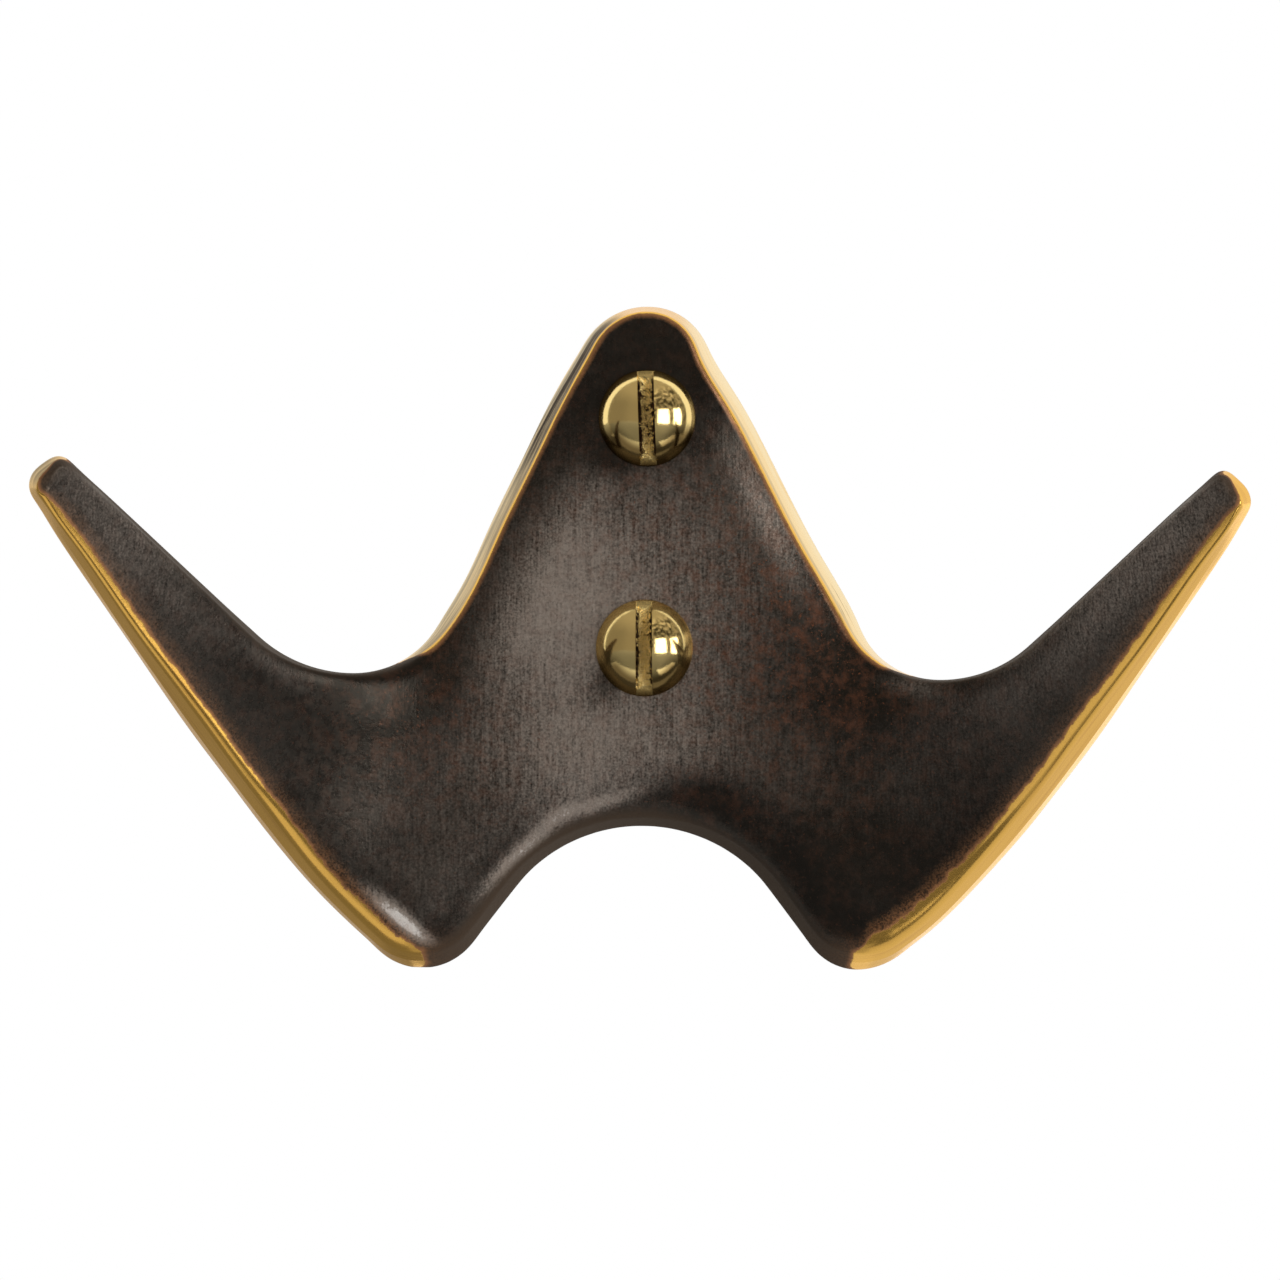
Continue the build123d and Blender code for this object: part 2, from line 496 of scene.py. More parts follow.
@dataclass(frozen=True)
class PatinatedBrass:
    """Cast brass with a dark brown patina, rubbed back to bright metal along some edges."""

    bright: Triple = (0.88, 0.51, 0.11)
    tan: Triple = (0.68, 0.36, 0.08)
    filed: Triple = (0.93, 0.74, 0.43)
    blond: Triple = (0.95, 0.81, 0.54)
    olive: Triple = (0.20, 0.145, 0.06)
    worn: Triple = (0.30, 0.13, 0.05)
    dark: Triple = (0.005, 0.0035, 0.003)
    # Grey of rubbed patina, which the painted highlights and shade also reach; the paler grey after it is a
    # painted highlight.
    rubbed: Triple = (0.27, 0.225, 0.19)
    painted_glint: Triple = (0.72, 0.67, 0.62)
    russet: Triple = (0.16, 0.052, 0.023)
    cast: Triple = (0.048, 0.028, 0.016)
    gleam: Triple = (0.99, 0.89, 0.73)
    streak: Grain = Grain(1.0, 4, 0.65)
    streak_along: float = 0.07
    streak_across: float = 1.4
    streak_wander: float = 1.2
    filed_from: Step = Step(0.2, 0.65)
    blond_from: Step = Step(1.3, 3.3, 0.0, 0.9)
    bright_streaks: Step = Step(0.52, 0.72, 0.0, 0.4)
    tan_streaks: Step = Step(0.48, 0.72, 0.0, 0.6)
    seam_from: Step = Step(0.3, 0.6)
    seam_to: Step = Step(1.3, 0.8, 0.0, 0.4)
    scratch_streaks: Step = Step(0.56, 0.60)
    tarnish_and_shade_from: Step = Step(0.15, 0.5)
    tarnish_and_shade_to: Step = Step(4.4, 2.4, 0.25, 1.0)
    tarnish_and_shade_streaks: Step = Step(0.62, 0.45, 0.55, 1.0)
    clouds: tuple[tuple[Grain, float], ...] = ((Grain(0.2, 4, 0.65), 0.22), (Grain(1.3, 4, 0.65), 0.12))
    grain: Grain = Grain(5.5, 2, 0.5)
    grain_stretch: tuple[tuple[Triple, float], ...] = (((1.0, 1.0, 1.0), 1.1), ((1.0, 1.0, 0.08), 0.7))
    lively_rub: Step = Step(0.05, 0.55, 0.25, 1.0)
    rubbed_from: Step = Step(-0.05, 1.05)
    painted_glint_from: Step = Step(1.0, 1.7)
    stain: Grain = Grain(0.8, 6, 0.75)
    stain_from: Step = Step(0.42, 0.70, 0.0, 0.55)
    speck: Grain = Grain(3.4, 3, 0.6)
    speck_from: Step = Step(0.60, 0.72)
    fray: Grain = Grain(0.7, 5, 0.6)
    fray_worn: Step = Step(0.0, 1.0, 0.35, 1.4)
    fleck: Grain = Grain(5.5, 3, 0.6)
    fleck_worn: Step = Step(0.2, 1.0, 0.2, 0.8)
    bare_from: Step = Step(-0.06, 0.10)
    halo_from: Step = Step(-0.5, 0.0)
    halo_to: Step = Step(1.0, 0.0)
    wide_halo_from: Step = Step(-1.8, -0.1, 0.0, 0.8)
    wide_halo_flecks: Step = Step(-0.12, 0.10, 0.25, 1.0)
    metallic: Step = Step(0.0, 1.0, 0.35, 1.0)
    mottle: Grain = Grain(1.3, 4, 0.65)
    patina_rough: Step = Step(0.3, 0.7, 0.20, 0.34)
    unrubbed_rough: Step = Step(0.1, -0.15, 0.0, 0.06)
    wall_rough: float = 0.8
    bare_rough: Step = Step(-0.2, 0.2, 0.16, 0.26)
    brush: Grain = Grain(5.0, 3, 0.6)
    brush_stretch: Triple = (1.0, 1.0, 0.05)
    brush_relief: tuple[Step, float] = (Step(0.0, 1.0, 0.15, 0.02), 0.06)
    mottle_relief: tuple[Step, float] = (Step(0.0, 1.0, 0.12, 0.03), 0.12)
    pits: Grain = Grain(3.5, 2, 0.5)
    pit_relief: tuple[Step, float] = (Step(0.0, 1.0, 0.16, 0.02), 0.10)

    def metal(self, recipe: Recipe) -> tuple[Socket, Socket]:
        """Colour of the bare metal: warm outside, pale and streaked on the filed sides of the peak.

        Args:
            recipe: The node tree that the colour goes into.

        Returns:
            The colour, and how far the metal is tarnished, which also paints shade on the left side and
            higher up.
        """
        across, file = recipe.trait("across"), recipe.trait("file")
        thread = recipe.node("ShaderNodeCombineXYZ")
        recipe.put(thread.inputs[0], recipe.times(recipe.trait("along"), self.streak_along))
        recipe.put(thread.inputs[1], recipe.times(across, self.streak_across))
        streak = recipe.noise(thread.outputs[0], self.streak)
        wander = recipe.calc("MULTIPLY_ADD", recipe.calc("SUBTRACT", streak, 0.5), self.streak_wander, across)
        side = recipe.blend(recipe.remap(wander, self.filed_from), self.bright, self.filed)
        side = recipe.blend(recipe.remap(wander, self.blond_from), side, self.blond)
        side = recipe.blend(recipe.remap(streak, self.bright_streaks), side, self.bright)
        seam = recipe.times(recipe.remap(wander, self.seam_from), recipe.remap(wander, self.seam_to))
        side = recipe.blend(seam, side, self.olive)
        mark = recipe.times(recipe.trait("mark"), recipe.remap(streak, self.scratch_streaks))
        side = recipe.blend(mark, side, self.dark)
        # Tarnished band across the flank, which also paints the darker left side.
        band = recipe.times(recipe.remap(wander, self.tarnish_and_shade_from), recipe.remap(wander, self.tarnish_and_shade_to))
        band = recipe.times(band, recipe.remap(streak, self.tarnish_and_shade_streaks))
        plain = recipe.blend(recipe.remap(streak, self.tan_streaks), self.bright, self.tan)
        return recipe.blend(file, plain, side), recipe.times(band, recipe.trait("shade"), file)

    def skin(self, recipe: Recipe, place: Socket, halo: Socket) -> Socket:
        """Colour of the patina: nearly black, rubbed grey in places, with russet clouds and specks, and with
        painted highlights and shade in its tone.

        Args:
            recipe: The node tree that the colour goes into.
            place: Coordinates in millimetres.
            halo: How close the worn edge of the bare metal is.

        Returns:
            The colour.
        """
        rub_and_light = recipe.trait("rub_and_light")
        lively = recipe.remap(rub_and_light, self.lively_rub)
        tone = rub_and_light
        for cloud, weight in self.clouds:
            tone = recipe.calc("MULTIPLY_ADD", recipe.ripple(place, cloud), weight, tone)
        for stretch, weight in self.grain_stretch:
            grain = recipe.ripple(recipe.millimetres(stretch), self.grain)
            tone = recipe.calc("ADD", tone, recipe.times(grain, lively, weight))
        # Black to the grey of rubbed patina, with the painted light and shade of the tone.
        skin = recipe.blend(recipe.remap(tone, self.rubbed_from), self.dark, self.rubbed)
        # Painted highlight: tone past 1 turns pale grey.
        skin = recipe.blend(recipe.remap(tone, self.painted_glint_from), skin, self.painted_glint)
        stain = recipe.remap(recipe.noise(place, self.stain), self.stain_from)
        speck = recipe.remap(recipe.noise(place, self.speck), self.speck_from)
        stain = recipe.times(recipe.calc("MAXIMUM", stain, speck), recipe.trait("warm"))
        skin = recipe.blend(stain, skin, self.russet)
        skin = recipe.blend(recipe.trait("wall"), skin, self.cast)
        return recipe.blend(halo, skin, self.worn)

    def material(self) -> bpy.types.Material:
        """Builds the finish.

        Returns:
            The material, which reads the traits that the casting's mesh carries.
        """
        recipe = Recipe(bpy.data.materials.new("patinated brass"))
        place = recipe.millimetres()
        fray, fleck = recipe.ripple(place, self.fray), recipe.ripple(place, self.fleck)
        wear = recipe.trait("wear")
        frayed = recipe.calc("MULTIPLY_ADD", fray, recipe.remap(wear, self.fray_worn), recipe.trait("gilt"))
        frayed = recipe.calc("MULTIPLY_ADD", fleck, recipe.remap(wear, self.fleck_worn), frayed)
        metal, tarnish_and_shade = self.metal(recipe)
        bare = recipe.remap(frayed, self.bare_from)
        near = recipe.times(recipe.remap(frayed, self.halo_from), recipe.remap(bare, self.halo_to))
        wide = recipe.times(recipe.remap(frayed, self.wide_halo_from), wear)
        wide = recipe.times(wide, recipe.remap(fleck, self.wide_halo_flecks))
        skin = self.skin(recipe, place, recipe.calc("MAXIMUM", near, wide))
        # Tarnishing dulls the bare metal and paints shade on the left side.
        bare = recipe.times(bare, recipe.calc("SUBTRACT", 1.0, tarnish_and_shade))
        recipe.feed("Base Color", recipe.blend(bare, skin, metal))
        recipe.feed("Metallic", recipe.remap(bare, self.metallic))
        recipe.feed("Specular Tint", self.gleam)

        mottle = recipe.noise(place, self.mottle)
        dull = recipe.remap(recipe.trait("rub_and_light"), self.unrubbed_rough)
        patina = recipe.calc("ADD", recipe.remap(mottle, self.patina_rough), dull)
        patina = recipe.mix(Mixed.NUMBER, recipe.trait("wall"), patina, self.wall_rough)
        polished = recipe.remap(fleck, self.bare_rough)
        recipe.feed("Roughness", recipe.mix(Mixed.NUMBER, bare, patina, polished))

        brush = recipe.noise(recipe.millimetres(self.brush_stretch), self.brush)
        pits = recipe.noise(place, self.pits)
        heights = ((brush, self.brush_relief), (mottle, self.mottle_relief), (pits, self.pit_relief))
        relief = None
        for height, (strength, distance) in heights:
            relief = recipe.bump(height, recipe.remap(bare, strength), distance, relief)
        recipe.feed("Normal", relief)
        return recipe.owner


@dataclass(frozen=True)
class ScrewBrass:
    """Polished brass of the screws, with grime in their slots and painted shade on the lower rim of the
    heads.
    """

    polished: Triple = (0.98, 0.74, 0.30)
    gleam: Triple = (0.97, 0.86, 0.66)
    painted_lower_shade: Triple = (0.10, 0.055, 0.015)
    grime: Triple = (0.05, 0.024, 0.009)
    speck: Grain = Grain(2.8, 5, 0.75)
    gutter_share: float = 0.20
    dirt_from: Step = Step(0.56, 0.66)
    slot_rough: Step = Step(0.0, 1.0, 0.12, 0.26)
    dents: Grain = Grain(2.6, 3, 0.6)
    dent_strength: float = 0.12
    dent_height: float = 0.05
    sawn: Grain = Grain(2.4, 4, 0.6)
    sawn_strength: Step = Step(0.0, 1.0, 0.0, 0.55)
    sawn_height: float = 0.45

    def material(self) -> bpy.types.Material:
        """Builds the finish.

        Returns:
            The material, which reads the mesh's traits slot, gutter and under.
        """
        recipe = Recipe(bpy.data.materials.new("screw brass"))
        place = recipe.millimetres()
        speck = recipe.noise(place, self.speck)
        slot = recipe.trait("slot")
        dirt = recipe.calc("MULTIPLY_ADD", recipe.trait("gutter"), self.gutter_share, speck)
        dirt = recipe.times(recipe.remap(dirt, self.dirt_from), slot)
        # Painted shade: the lower rim of each head is darkened, standing in for the dark casting that it
        # reflects.
        head = recipe.blend(recipe.trait("under"), self.polished, self.painted_lower_shade)
        recipe.feed("Base Color", recipe.blend(dirt, head, self.grime))
        recipe.feed("Metallic", 1.0)
        recipe.feed("Specular Tint", self.gleam)
        recipe.feed("Roughness", recipe.remap(slot, self.slot_rough))
        dents = recipe.bump(recipe.noise(place, self.dents), self.dent_strength, self.dent_height)
        sawn = recipe.remap(slot, self.sawn_strength)
        recipe.feed("Normal", recipe.bump(recipe.noise(place, self.sawn), sawn, self.sawn_height, dents))
        return recipe.owner


@dataclass(frozen=True)
class Slab:
    """Bent slab that the casting is cut from: a plate with a horn bent forwards on each side."""

    thickness: float = 5.0
    bend_start: float = 7.2
    bend_radius: float = 24.0
    bend_tilt: float = 20.0
    horn_angle: float = 41.0
    horn_taper: float = 4.8

    def depth(self, place: Array, start: float, radius: float, angle: float) -> Array:
        """How far in front of the wall a bent face is.

        Args:
            place: Points seen from the front, as x and z.
            start: Depth of the face at the plate.
            radius: Radius of its bend.
            angle: Angle that it bends by.

        Returns:
            The depth at each point.
        """
        tilt = math.radians(self.bend_tilt)
        across = np.abs(place[:, 0]) * math.cos(tilt) + place[:, 1] * math.sin(tilt)
        run = across - self.bend_start
        end = radius * math.sin(math.radians(angle))
        bent = radius - np.sqrt(radius**2 - np.clip(run, 0, end) ** 2)
        return start + bent + np.maximum(run - end, 0) * math.tan(math.radians(angle))

    def front(self, place: Array) -> Array:
        """Depth of the front face at points seen from the front."""
        return self.depth(place, self.thickness, self.bend_radius, self.horn_angle)

    def back(self, place: Array) -> Array:
        """Depth of the back face at points seen from the front."""
        radius = self.bend_radius + self.thickness
        return self.depth(place, 0.0, radius, self.horn_angle + self.horn_taper)


@dataclass(frozen=True)
class FrontPatch:
    """Soft spot on the front: rubbed and darker patina, painted light and shade, russet, scratches."""

    x: float
    z: float
    width: float
    height: float
    strength: float
    turn: float = 0.0

    def share(self, place: Array) -> Array:
        """Works out how strong the patch is.

        Args:
            place: Points seen from the front.

        Returns:
            The strength at each point.
        """
        way = np.array([math.cos(math.radians(self.turn)), math.sin(math.radians(self.turn))])
        away = place - np.array([self.x, self.z])
        along = away @ way / self.width
        beside = away @ np.array([-way[1], way[0]]) / self.height
        return self.strength * np.exp(-(along**2) - beside**2)


@dataclass(frozen=True)
class FiledSpot:
    """Stretch of the edge that the hand finish left a little further out, or took back."""

    x: float
    z: float
    reach: float
    push: float

    def outward(self, place: Array) -> Array:
        """How far points seen from the front move outwards."""
        square = (place[:, 0] - self.x) ** 2 + (place[:, 1] - self.z) ** 2
        return self.push * np.exp(-square / self.reach**2)


@dataclass(frozen=True)
class Stops:
    """Where finishes of the edge start and stop, by reach from the centre line, by rise, and by turn.

    Turn is the way that the edge faces: 0 to the side, 90 up and -90 down.
    """

    peak_reach: float = 26.0
    peak_rise: float = -13.0
    straight_rise: float = 2.0
    flank_turn: Sides = ((46.0, 66.0), (58.0, 80.0))
    tip_reach: float = 42.0
    tip_turn: Sides = ((70.0, 105.0), (50.0, 80.0))
    outer_reach: float = 13.0
    outer_turn: Sides = ((-98.0, -66.0), (-108.0, -72.0))
    narrow_reach: Range = (32.0, 46.0)
    upper_turn: Range = (60.0, 85.0)
    upper_reach: float = 14.0
    calm_arch: Range = (-3.0, 7.0)
    arch_turn: float = -100.0
    crease_reach: Range = (43.0, 47.0)
    heel_reach: Range = (17.0, 32.0)
    file_turn: Range = (48.0, 70.0)
    wear_reach: Range = (16.0, 34.0)
    roll_rise: Range = (7.0, 14.0)
    wall_reach: Range = (43.0, 46.0)


@dataclass
class Rim:
    """Edge of the casting, as loops of points that share their numbering."""

    front: Array
    back: Array
    inward: Array
    gilt: Array
    late: Array
    file: Array
    wear: Array
    soft: Array
    face_round: Array
    wall_round: Array
    crease: Array
    roll: Array
    roll_reach: Array


@dataclass
class Casting:
    """Cast body of the hook, with soft edges at the arch and notches and crisp bright ones outside.

    Widths of softening along the edge are in points, and so are its samples.
    """

    node: str = "hook_body"
    slab: Slab = field(default_factory=Slab)
    finish: PatinatedBrass = field(default_factory=PatinatedBrass)
    stops: Stops = field(default_factory=Stops)
    samples: int = 1280
    front_grid: float = 0.5
    back_grid: float = 0.9
    grid_gap: float = 0.6
    low_level: float = 0.25
    high_level: float = 0.55
    thinnest: float = 0.1
    close_width: float = 1.5
    calm_width: float = 8.0
    bent_by: Range = (0.03, 0.10)
    lean_width: float = 6.0
    tangent_width: float = 2.0
    gilt_width: float = 3.0
    round_width: float = 8.0
    crease_width: float = 10.0
    broad_width: float = 12.0
    soft_from: Range = (0.15, 0.85)
    crisp_round: float = 0.55
    outer_round: float = 0.95
    outer_early: float = 0.6
    soft_round: float = 3.0
    soft_wall_share: float = 0.5
    calm_round: float = 1.3
    tip_round: float = 0.45
    tip_wall_round: float = 0.9
    tip_late: float = 0.9
    tip_tarnish_and_shade: float = 0.9
    flank_taper: float = 3.5
    foot_taper: float = 1.2
    taper_from: Range = (0.2, 1.0)
    heel_round: float = 1.3
    heel_wall_share: float = 0.6
    heel_late: float = 0.3
    least_wear: float = 0.35
    back_round: float = 0.4
    front_limits: Range = (0.05, 0.5)
    back_limits: Range = (0.03, 0.2)
    crease_height: float = 0.28
    crease_place: float = 0.55
    roll: float = 1.1
    roll_reach: float = 5.5
    edge_roll: float = 0.25
    edge_reach: float = 4.0
    corner_steps: int = 20
    front_steps: tuple[float, ...] = (0.35, 0.7, 0.94, 1.0)
    back_steps: tuple[float, ...] = (0.06, 0.3, 0.65, 1.0)
    foot_steps: int = 4
    hole_radius: float = 2.2
    hole_spacing: float = 19.0
    hole_sides: int = 48
    gilt_from: float = 0.15
    gilt_slope: float = 4.0
    gilt_corner: float = 2.5
    no_gilt: float = -3.0
    far: float = 4.0
    wall_from: Range = (-0.3, 1.2)
    tip_wall_from: Range = (-1.0, 0.4)
    shade_x: Range = (-4.0, 4.0)
    shade_z: Range = (2.0, 9.0)
    least_shade: float = 0.5
    base_warm: float = 0.15
    base_rub: float = 0.2
    darkest: float = -0.15
    inner_reach: Range = (30.0, 42.0)
    crisp_dark: Range = (0.25, 0.75)
    crisp_depth: Range = (0.0, 6.0)
    rolled_dark: float = 0.70
    rolled_depth: Range = (0.5, 2.5)
    # Patina rubbed lighter in places and left darker in others, which also paints the broad light and shade
    # over the plate and wings.
    rub_and_light_patches: tuple[FrontPatch, ...] = (
        FrontPatch(-1.5, -7.5, 13, 15, 0.24),
        FrontPatch(-8, -5.5, 7.5, 9, 0.44, 20),
        FrontPatch(-3.5, -19, 8, 4.5, 0.28),
        FrontPatch(14, -12, 7, 7, -0.14),
        FrontPatch(0, 15, 10, 8, -0.45),
        # Painted shade in the left notch.
        FrontPatch(-21, -12, 6, 5, -0.45),
        FrontPatch(-31, -12, 7, 6, -0.14),
        FrontPatch(20, -12, 6, 5, -0.16),
        FrontPatch(17, -31, 10, 8, -0.40),
        FrontPatch(33, -20, 9, 6, -0.10),
        FrontPatch(-29, -20, 7, 7, -0.10),
        FrontPatch(-40, 0, 10, 8, 0.12),
        # Painted shade just above the arch's crest.
        FrontPatch(4.5, -22, 5, 2.2, -0.40, -15),
        # Painted shadows of the two screws, to their lower left.
        FrontPatch(-3.2, -12.4, 1.6, 1.8, -0.40, -35),
        FrontPatch(-3.0, 6.2, 2.0, 1.4, -0.25, -35),
    )
    # Painted highlights: streaks of window light reflected on the right wing, the right flank, the arch's
    # left crest, the left foot's ridge and the notches.
    painted_highlights: tuple[FrontPatch, ...] = (
        FrontPatch(38, -3.5, 14, 3.2, 0.30, 40),
        FrontPatch(10.2, 1.0, 6, 1.2, 0.50, -62),
        FrontPatch(-9.8, -26.4, 4.6, 0.75, 1.05, 45),
        FrontPatch(-4.2, -22.6, 3.6, 0.65, 0.85, 18),
        FrontPatch(-19.9, -32.2, 3.0, 0.6, 2.00, -40),
        FrontPatch(-30, -11.5, 6, 0.9, 0.20, -38),
        FrontPatch(22.0, -12.4, 3.0, 0.9, 0.30, -8),
    )
    russet_patches: tuple[FrontPatch, ...] = (
        FrontPatch(12, -9, 13, 11, 0.9),
        FrontPatch(-16, -17, 9, 7, 0.45),
        FrontPatch(0, 2, 10, 6, 0.35),
    )
    scratches: FrontPatch = FrontPatch(15.2, -5.1, 2.0, 1.2, 1.0, -60)
    filed_spots: tuple[FiledSpot, ...] = (
        FiledSpot(-16.5, -3.5, 5.0, -0.42),
        FiledSpot(18.0, -5.5, 5.0, 0.50),
        FiledSpot(5.5, 14.8, 4.0, -0.50),
        FiledSpot(-7.5, 10.5, 5.0, 0.22),
        FiledSpot(20.0, -34.5, 3.5, -0.50),
        FiledSpot(-26.0, -28.0, 6.0, 0.28),
        FiledSpot(-49.0, 2.5, 2.5, -0.12),
        FiledSpot(48.5, 4.0, 2.5, -0.35),
    )

    def solid(self) -> tuple[Array, Array]:
        """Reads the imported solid, with its loose triangles merged.

        Returns:
            Its vertices in millimetres and its triangles.
        """
        mesh = bpy.data.objects[self.node].data
        mesh.calc_loop_triangles()
        raw = np.array([vertex.co for vertex in mesh.vertices]) / MM
        triangles = np.array([triangle.vertices for triangle in mesh.loop_triangles])
        _, first, merged = np.unique(np.round(raw, 4), axis=0, return_index=True, return_inverse=True)
        triangles = merged.reshape(-1)[triangles]
        whole = (triangles != np.roll(triangles, 1, axis=1)).all(axis=1)
        return raw[first], triangles[whole]

    def outline(self) -> tuple[Array, Array, Array, Array]:
        """Follows the solid's own walls around its edge, seen from the front.

        Returns:
            The middle line, the way inwards, and the front and back corners before rounding.
        """
        points, triangles = self.solid()
        place = points[:, SEEN]
        depth = self.slab.back(place)
        share = (-points[:, 1] - depth) / np.maximum(self.slab.front(place) - depth, self.thinnest)
        low = level_loop(points, triangles, share, self.low_level)[:, SEEN]
        high = level_loop(points, triangles, share, self.high_level)[:, SEEN]
        middle = even_loop(low, self.samples)
        if (middle[:, 0] * np.roll(middle[:, 1], -1) - np.roll(middle[:, 0], -1) * middle[:, 1]).sum() < 0:
            middle = middle[::-1].copy()
        close, calm = spread(middle, self.close_width), spread(middle, self.calm_width)
        bent = ease(*self.bent_by, np.linalg.norm(close - calm, axis=1))
        middle = between(calm, close, spread(bent, self.lean_width)[:, None])
        tangent = spread(np.roll(middle, -1, axis=0) - np.roll(middle, 1, axis=0), self.tangent_width)
        tangent /= np.linalg.norm(tangent, axis=1)[:, None]
        inward = np.column_stack([-tangent[:, 1], tangent[:, 0]])
        lean = spread(nearest_on_loop(middle, high)[0] - middle, self.lean_width)
        lean /= self.high_level - self.low_level
        push = inward * sum(spot.outward(middle) for spot in self.filed_spots)[:, None]
        front = middle + lean * (1 - self.low_level) - push
        back = middle - lean * self.low_level - push
        return middle, inward, front, back

    def rim(self) -> Rim:
        """Works out the edge and how each stretch of it is finished.

        Returns:
            The edge before rounding.
        """
        middle, inward, front, back = self.outline()
        stops = self.stops
        side = np.where(middle[:, 0] < 0, -1.0, 1.0)
        reach, rise = np.abs(middle[:, 0]), middle[:, 1]
        turn = np.degrees(np.arctan2(-inward[:, 1], -inward[:, 0] * side))
        straight = rise > stops.straight_rise
        peak = (reach < stops.peak_reach) & (rise > stops.peak_rise) & (turn > 0)
        flank = np.where(straight, 1.0, 1 - by_side(side, stops.flank_turn, turn)) * peak
        tip = (reach > stops.tip_reach) & (turn > 0)
        end = (1 - by_side(side, stops.tip_turn, turn)) * tip
        outer = by_side(side, stops.outer_turn, turn) * ((reach > stops.outer_reach) & (turn <= 0))
        gilt = np.maximum(np.maximum(flank, end), outer)

        soft = 1 - ease(*self.soft_from, gilt)
        narrow = ease(*stops.narrow_reach, reach)
        upper = ease(*stops.upper_turn, turn) * (reach > stops.upper_reach)
        calm = np.maximum(upper, ease(*stops.calm_arch, middle[:, 0]) * (turn < stops.arch_turn))
        soft_round = between(between(self.soft_round, self.calm_round, calm), self.tip_round, narrow)
        crisp_round = between(self.crisp_round, self.outer_round, outer * (1 - narrow)) * (1 - soft)
        heel = outer * (1 - ease(*stops.heel_reach, reach))
        heel_round = spread(heel * self.heel_round, self.broad_width)
        face_round = spread(soft_round * soft + crisp_round, self.round_width) + heel_round
        wall_round = soft_round * soft * self.soft_wall_share + crisp_round + self.tip_wall_round * tip
        wall_round = spread(wall_round, self.round_width) + heel_round * self.heel_wall_share
        crease = spread(outer * (1 - ease(*stops.crease_reach, reach)), self.crease_width)

        late = end * self.tip_late - outer * self.outer_early - heel * self.heel_late * side
        taper = np.where(turn > 0, self.flank_taper, self.foot_taper)
        taper = taper * (1 - ease(*self.taper_from, gilt)) * (gilt > 0)
        late = spread(late, self.round_width) + spread(taper, self.gilt_width)
        file = flank * np.where(straight, 1 - ease(*stops.file_turn, turn), 1.0)
        # The left tip's end gets the flank's streaks and the tarnishing that paints its shade.
        file = np.maximum(file, self.tip_tarnish_and_shade * end * (side < 0))
        wear = outer * between(1.0, self.least_wear, ease(*stops.wear_reach, reach))
        plain = np.maximum(np.maximum(outer, end), np.maximum(narrow, upper))
        roll = spread(between(self.roll, self.edge_roll * (1 - narrow), plain), self.broad_width)
        return Rim(
            front=front,
            back=back,
            inward=inward,
            gilt=spread(gilt, self.gilt_width),
            late=late,
            file=spread(file, self.gilt_width),
            wear=spread(wear, self.broad_width),
            soft=spread(soft, self.round_width),
            face_round=face_round,
            wall_round=wall_round,
            crease=crease,
            roll=roll * (1 - ease(*stops.roll_rise, rise)),
            roll_reach=spread(between(self.roll_reach, self.edge_reach, plain), self.broad_width),
        )

    def face_points(self, place: Array, distance: Array, rim: Rim, near: Array) -> Array:
        """Points on the front face, which rolls back towards its edge.

        Args:
            place: The points, seen from the front.
            distance: Their distance from the edge.
            rim: The edge.
            near: Number of the rim's point that is nearest to each.

        Returns:
            The points in space.
        """
        share = np.clip(1 - distance / rim.roll_reach[near], 0, 1)
        depth = self.slab.front(place) - rim.roll[near] * share**2
        return np.column_stack([place[:, 0], -depth, place[:, 1]])

    def back_points(self, place: Array) -> Array:
        """Points on the back face, from their places seen from the front."""
        return np.column_stack([place[:, 0], -self.slab.back(place), place[:, 1]])

    def rings(self, rim: Rim) -> Array:
        """Loops across the edge, from the front face over the wall to the back.

        Args:
            rim: The edge before rounding.

        Returns:
            Points as loop, place along the loop, and axis.
        """
        inner = rim.front + rim.inward * rim.face_round[:, None]
        every = np.arange(self.samples)
        face = self.face_points(inner, rim.face_round, rim, every)
        corner = self.face_points(rim.front, rim.face_round, rim, every)
        slope = 2 * rim.roll / rim.roll_reach * (1 - rim.face_round / rim.roll_reach)
        corner[:, 1] += np.maximum(slope, 0) * rim.face_round
        foot = self.back_points(rim.back)
        inner_foot = self.back_points(rim.back + rim.inward * self.back_round)
        length = np.linalg.norm(foot - corner, axis=1)
        outward = np.column_stack([-rim.inward[:, 0], np.zeros(self.samples), -rim.inward[:, 1]])

        def wall(share: Array) -> Array:
            """Points on the wall at a share of the way from the front corner to the back one.

            Args:
                share: The share at each point of the rim.

            Returns:
                The points, which stand out at the crease.
            """
            rising = np.minimum(share / self.crease_place, (1 - share) / (1 - self.crease_place))
            height = self.crease_height * rim.crease * length / self.slab.thickness * rising
            return between(corner, foot, share[:, None]) + outward * height[:, None]

        first = np.clip(rim.wall_round / length, *self.front_limits)
        last = 1 - np.clip(self.back_round / length, *self.back_limits)
        corner_shares = np.linspace(0, 1, self.corner_steps + 1)
        foot_shares = np.linspace(0, 1, self.foot_steps + 1)[1:]
        loops = [rounded(face, corner, wall(first), step) for step in corner_shares]
        loops += [wall(between(first, self.crease_place, step)) for step in self.front_steps]
        loops += [wall(between(self.crease_place, last, step)) for step in self.back_steps]
        bottom = loops[-1]
        loops += [rounded(bottom, foot, inner_foot, step) for step in foot_shares]
        return np.array(loops)

